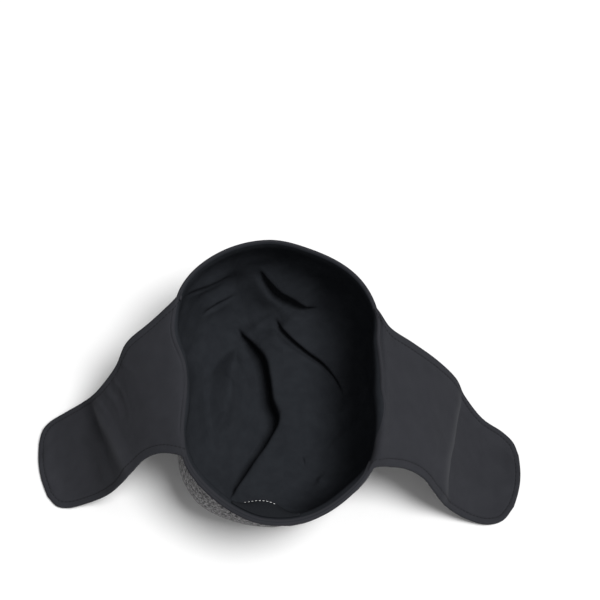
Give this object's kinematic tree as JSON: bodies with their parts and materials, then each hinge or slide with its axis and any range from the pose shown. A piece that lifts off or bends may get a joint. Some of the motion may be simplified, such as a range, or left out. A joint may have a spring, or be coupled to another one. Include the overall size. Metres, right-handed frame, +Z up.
{
  "type": "earflap cap",
  "caption": "Lined soft cap with two long earflaps, lying on its crown with the opening up and the flaps spread out to the surface.",
  "frame": {"origin": "middle of the cap's footprint, on the surface that it lies on", "axes": "+Z up out of the cap's opening, +X from the left flap to the right flap as seen from the front hem, +Y from the front hem to the back hem"},
  "size_m": [0.379, 0.2118, 0.1015],
  "materials": {
    "grey_knit": "mottled grey knitted cloth, matt",
    "black_lining": "plain black cotton lining, matt, faintly blue",
    "black_facing": "black brushed cloth of the flaps and hem, matt, topstitched",
    "black_satin": "black satin label, blank, slight gloss"
  },
  "bodies": {
    "root": {"crown_back_right": "grey_knit", "crown_back_left": "grey_knit", "crown_front_left": "grey_knit", "crown_front_right": "grey_knit", "crown_lining": "black_lining", "back_band": "black_facing", "front_band": "black_facing", "left_flap_lining": "black_facing", "left_flap_outer": "grey_knit", "right_flap_lining": "black_facing", "right_flap_outer": "grey_knit", "blank_label": "black_satin"}
  },
  "joints": []
}
